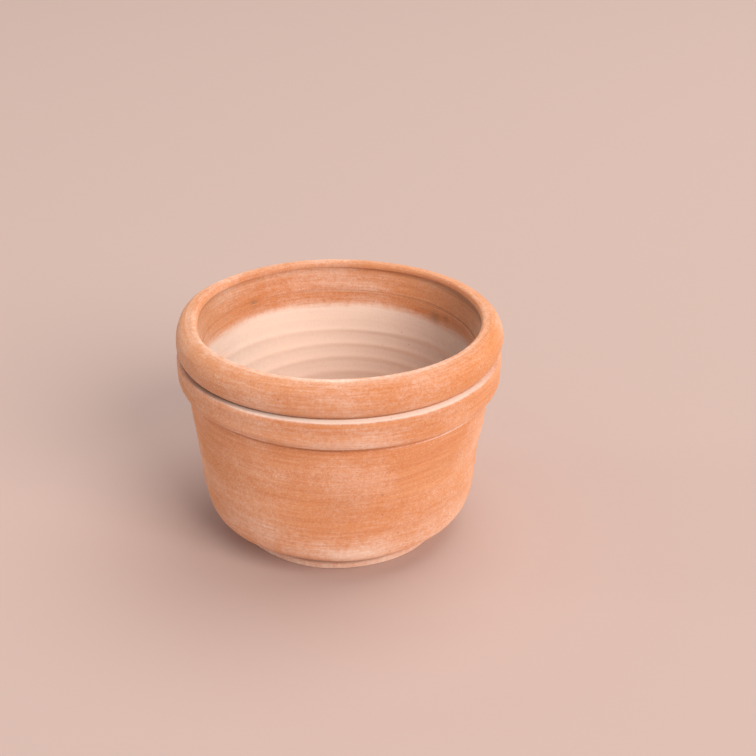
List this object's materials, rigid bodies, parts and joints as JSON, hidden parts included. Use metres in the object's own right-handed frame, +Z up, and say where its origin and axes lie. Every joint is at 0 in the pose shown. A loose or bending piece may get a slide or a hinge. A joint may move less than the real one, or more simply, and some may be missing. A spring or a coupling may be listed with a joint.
{
  "type": "terracotta pot",
  "caption": "Round terracotta plant pot with a thick rolled rim, a collar band under it, a tapering wall, a low foot and a central drainage hole.",
  "frame": {"origin": "on the pot's axis, at the level it stands on", "axes": "+Z up along the pot's axis, out of the mouth; the pot is round, so X and Y are any two level directions"},
  "size_m": [0.28, 0.28, 0.197],
  "materials": {
    "terracotta": "unglazed, matt and slightly dusty, with a pale lime bloom"
  },
  "bodies": {
    "root": {"rim_roll": "terracotta", "collar_band": "terracotta", "body_wall": "terracotta", "base_slab": "terracotta", "foot_ring": "terracotta"}
  },
  "joints": []
}
